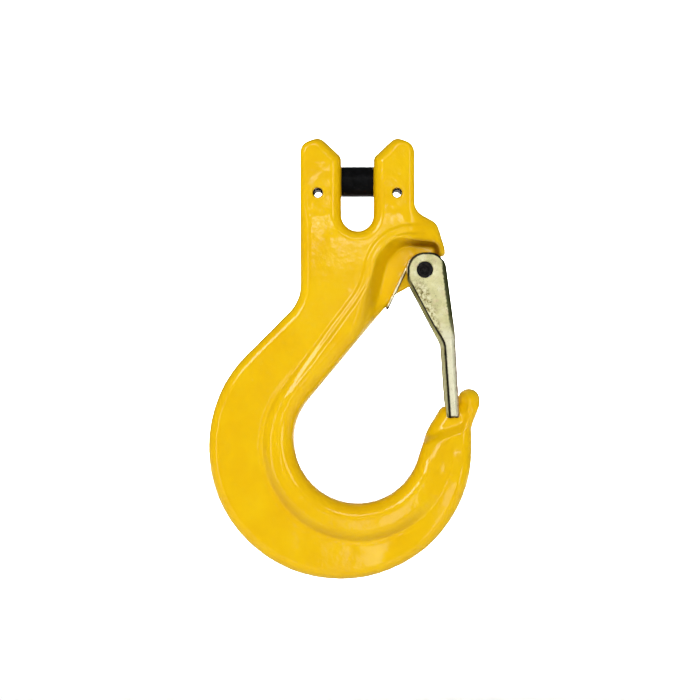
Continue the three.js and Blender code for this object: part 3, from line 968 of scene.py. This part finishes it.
def yellow_zinc():
    """Yellow passivated zinc: pale straw with olive and pink clouds, painted shade along its edges, and a
    painted dark reflection on the bend.
    """
    n = Nodes("yellow_zinc_passivate")
    color = n.ramp(n.noise(4.5, detail=5, roughness=0.6), [
        (0.30, (0.58, 0.56, 0.26)), (0.48, (0.80, 0.76, 0.40)), (0.68, (0.93, 0.90, 0.58))])
    pink = n.ramp(n.noise(3.2, detail=3), [(0.52, 0.0), (0.68, 0.45)])
    color = n.mix(pink, color, (0.80, 0.62, 0.40))

    # The arm is paler than the head.
    on_arm = n.attribute("down_mm", KNEE_Z - 6, KNEE_Z)
    color = n.mix(n.math("MULTIPLY", on_arm, 0.6), color, (0.96, 0.94, 0.74))

    # The fold to the left of the crease is mottled olive and brown.
    fold = n.math("MULTIPLY", n.attribute("fold_mm", -0.3, 1.2), n.attribute("down_mm", 39, 45))
    fold = n.math("MULTIPLY", fold, n.attribute("down_mm", KNEE_Z + 1, KNEE_Z - 1))
    mottle = n.ramp(n.noise(1.3, detail=5, roughness=0.7), [
        (0.36, (0.09, 0.07, 0.02)), (0.44, (0.44, 0.37, 0.16)), (0.51, (0.72, 0.69, 0.38)),
        (0.60, (0.95, 0.91, 0.62))])
    color = n.mix(n.math("MULTIPLY", fold, 0.92), color, mottle)
    specks = n.ramp(n.noise(0.5, detail=3, roughness=0.7), [(0.33, 1.0), (0.41, 0.0)])
    color = n.mix(n.math("MULTIPLY", specks, 0.45), color, (0.14, 0.12, 0.05))

    # Painted shade and reflection: dark lines along the cut rim and the foot of the curled strip, the
    # set-back strip darkened to olive, and a painted dark reflection on the outside of the bend.
    ragged = n.math("MULTIPLY", n.math("SUBTRACT", n.noise(1.2), 0.5), 0.5)
    # Painted shade: a dark line along the cut rim.
    rim = n.math("ADD", n.attribute("rim_mm", 1.3, 0.5), ragged)
    rim = n.math("SUBTRACT", rim, n.math("MULTIPLY", on_arm, n.attribute("down_mm", 96, 94)))
    rim = n.math("MULTIPLY", rim, n.attribute("across_mm", 4.6, 6.2))
    color = n.mix(n.ramp(rim, [(0.3, 0.0), (0.75, 0.99)]), color, (0.014, 0.012, 0.005))
    strip = n.mix(on_arm, n.attribute("left_mm", CURL_HEAD + 0.5, CURL_HEAD - 0.3),
                  n.attribute("left_mm", CURL_ARM + 0.9, CURL_ARM - 0.5))
    # Painted shade: the strip set back along the left edge is darkened to olive.
    strip_shade = n.math("MULTIPLY", n.ramp(strip, [(0.5, 0.0), (0.9, 0.75)]), n.attribute("down_mm", 39, 43))
    color = n.mix(strip_shade, color, (0.34, 0.33, 0.12))
    # Painted shade: a dark line at the foot of the curled strip.
    line = n.ramp(n.math("ADD", strip, n.math("MULTIPLY", ragged, 0.4)), [
        (0.05, 0.0), (0.3, 1.0), (0.7, 1.0), (1.0, 0.0)])
    line = n.math("MULTIPLY", line, n.attribute("down_mm", 39, 43))
    color = n.mix(line, color, (0.012, 0.010, 0.004))
    # Painted dark reflection on the outside of the bend, dark green near the head and brown lower down.
    bend = n.mix(on_arm, n.attribute("web_mm", -0.9, 0.9), n.attribute("web_mm", 0.4, 1.9))
    bend = n.math("ADD", n.math("MULTIPLY", bend, n.attribute("across_mm", 5.6, 8.0)), ragged)
    bend_reflection_color = n.ramp(n.attribute("down_mm", 34, 80), [
        (0.0, (0.035, 0.042, 0.012)), (0.45, (0.06, 0.07, 0.02)),
        (0.62, (0.30, 0.27, 0.15)), (0.8, (0.48, 0.38, 0.26))])
    color = n.mix(n.ramp(bend, [(0.35, 0.0), (0.65, 0.95)]), color, bend_reflection_color)

    rough = n.ramp(n.noise(1.1, detail=4), [(0.3, 0.28), (0.7, 0.46)])
    grain = n.bump(n.noise(0.7, detail=4, roughness=0.65), 0.05)
    normal = n.bump(n.noise(3.0, detail=2), 0.10, under=grain)
    return n.finish(color, rough, normal, Metallic=0.5, Specular_IOR_Level=0.2,
                    Specular_Tint=(0.35, 0.33, 0.22, 1))


def spring_wire():
    """Bright drawn wire with a straw tint, with painted shade below it and a painted dark reflection along
    the bail.
    """
    n = Nodes("straw_zinc_spring_wire")
    color = n.ramp(n.noise(2.5, detail=3), [(0.3, (0.62, 0.50, 0.24)), (0.6, (0.95, 0.88, 0.60))])
    # Painted shade on the wire's underside.
    color = n.mix(n.attribute("under", 0.1, 0.45), color, (0.06, 0.035, 0.012))
    # Painted dark reflection along the bail.
    bail = n.attribute("across_mm", COIL_INNER_Y + 0.1, COIL_INNER_Y - 0.8)
    color = n.mix(bail, color, (0.05, 0.03, 0.012))
    rough = n.ramp(n.noise(1.5), [(0.3, 0.25), (0.7, 0.38)])
    return n.finish(color, rough, n.bump(n.noise(0.8, detail=2), 0.01), Metallic=1.0)


def pale_floor():
    """A matt white sweep, faintly uneven."""
    n = Nodes("pale_studio_floor")
    color = n.ramp(n.noise(300), [(0.3, (0.93, 0.93, 0.93)), (0.7, (0.96, 0.96, 0.96))])
    rough = n.ramp(n.noise(120), [(0.3, 0.8), (0.7, 0.9)])
    return n.finish(color, rough, n.bump(n.noise(2), 0.01), Specular_IOR_Level=0.1)


# ---- Studio ----

VIEW_X, VIEW_Z = -3.05, -69.3                  # the point at the middle of the picture
VIEW_DISTANCE = 740
VIEW_WIDTH = 288.75                     # width seen at the hook's middle plane
FLOOR_Z = -255
FLOOR_HALF_WIDTH = 1400                 # level with the side lights


def add_camera():
    """A camera in front of the hook, which sees the photograph's frame."""
    data = bpy.data.cameras.new("photo_camera")
    data.sensor_width = 36
    data.lens = data.sensor_width * VIEW_DISTANCE / VIEW_WIDTH
    data.clip_start = 0.01
    data.clip_end = 50
    camera = bpy.data.objects.new("photo_camera", data)
    camera.location = Vector((VIEW_X, -VIEW_DISTANCE, VIEW_Z)) * MM
    camera.rotation_euler = (math.pi / 2, 0, 0)
    bpy.context.scene.collection.objects.link(camera)
    bpy.context.scene.camera = camera


def add_floor():
    """A floor below the hook that sweeps up into a backdrop behind it."""
    front_y, wall_y, wall_top = -500, 2200, 4000
    bend = 900
    profile = [(front_y, FLOOR_Z)]
    for angle in np.linspace(0, math.pi / 2, 24):
        y = wall_y - bend + bend * math.sin(angle)
        profile.append((y, FLOOR_Z + bend - bend * math.cos(angle)))
    profile.append((wall_y, wall_top))
    vertices = [(x, y, z) for y, z in profile for x in (-FLOOR_HALF_WIDTH, FLOOR_HALF_WIDTH)]
    faces = [(2 * i, 2 * i + 1, 2 * i + 3, 2 * i + 2) for i in range(len(profile) - 1)]
    floor = mesh_object("studio_floor", vertices, faces)
    floor.data.materials.append(pale_floor())


def add_light(name, place, target, size, power, spread_degrees=180):
    """A rectangular light at a place, turned to face a target."""
    data = bpy.data.lights.new(name, "AREA")
    data.spread = math.radians(spread_degrees)
    data.shape = "RECTANGLE"
    data.size, data.size_y = size[0] * MM, size[1] * MM
    data.energy = power
    light = bpy.data.objects.new(name, data)
    light.location = Vector(place) * MM
    aim = Vector(target) - Vector(place)
    light.rotation_euler = aim.to_track_quat("-Z", "Y").to_euler()
    bpy.context.scene.collection.objects.link(light)
    return light


def add_studio():
    """Soft lights in front, a fill behind the camera, one on each side and one on the backdrop."""
    centre = (VIEW_X, 0, VIEW_Z)
    add_light("key_upper_left", (-400, -900, 300), centre, (300, 300), 2.5)
    add_light("soft_above", (60, -900, 430), centre, (420, 160), 1.1)
    add_light("soft_left", (-520, -880, -180), centre, (160, 420), 0.6)
    add_light("soft_right", (470, -900, -40), centre, (180, 420), 0.9)
    add_light("soft_below", (0, -900, -520), centre, (420, 140), 0.2)
    fill = add_light("fill_behind_camera", (VIEW_X, -1500, VIEW_Z), centre, (260, 260), 7.4)
    fill.visible_glossy = False
    for name, x in (("side_left", -FLOOR_HALF_WIDTH), ("side_right", FLOOR_HALF_WIDTH)):
        side = add_light(name, (x, 100, 250), centre, (600, 600), 4.5)
        side.visible_glossy = False
    add_light("card_low_right", (70, -900, -235), (70, 0, -235), (130, 130), 0.15)
    add_light("card_clevis", (7, -900, 38), (7, 0, 38), (84, 20), 0.06)
    add_light("backdrop_wash", (0, 900, 1800), (0, 1500, -200), (1600, 500), 75, spread_degrees=75)


def add_surroundings():
    """Dim light from all round, which the camera itself sees as a pale backdrop."""
    world = bpy.data.worlds.new("soft_studio")
    world.use_nodes = True
    background = world.node_tree.nodes["Background"]
    background.inputs["Color"].default_value = (1, 1, 1, 1)
    background.inputs["Strength"].default_value = 0.12
    seen = world.node_tree.nodes.new("ShaderNodeBackground")
    seen.inputs["Color"].default_value = (0.92, 0.92, 0.92, 1)
    path = world.node_tree.nodes.new("ShaderNodeLightPath")
    choice = world.node_tree.nodes.new("ShaderNodeMixShader")
    links = world.node_tree.links
    links.new(path.outputs["Is Camera Ray"], choice.inputs[0])
    links.new(background.outputs[0], choice.inputs[1])
    links.new(seen.outputs[0], choice.inputs[2])
    links.new(choice.outputs[0], world.node_tree.nodes["World Output"].inputs["Surface"])
    bpy.context.scene.world = world
    bpy.context.scene.view_settings.view_transform = "Standard"


# ---- Assembly ----

add_camera()
body = hook_body()
body.data.materials.append(powder_coat())
stamped = latch()
stamped.data.materials.append(yellow_zinc())
pin = load_pin()
pin.data.materials.append(black_oxide())
steel = dark_spring_steel()
for small in small_pins():
    small.data.materials.append(steel)
spring = latch_spring()
spring.data.materials.append(spring_wire())
add_floor()
add_studio()
add_surroundings()
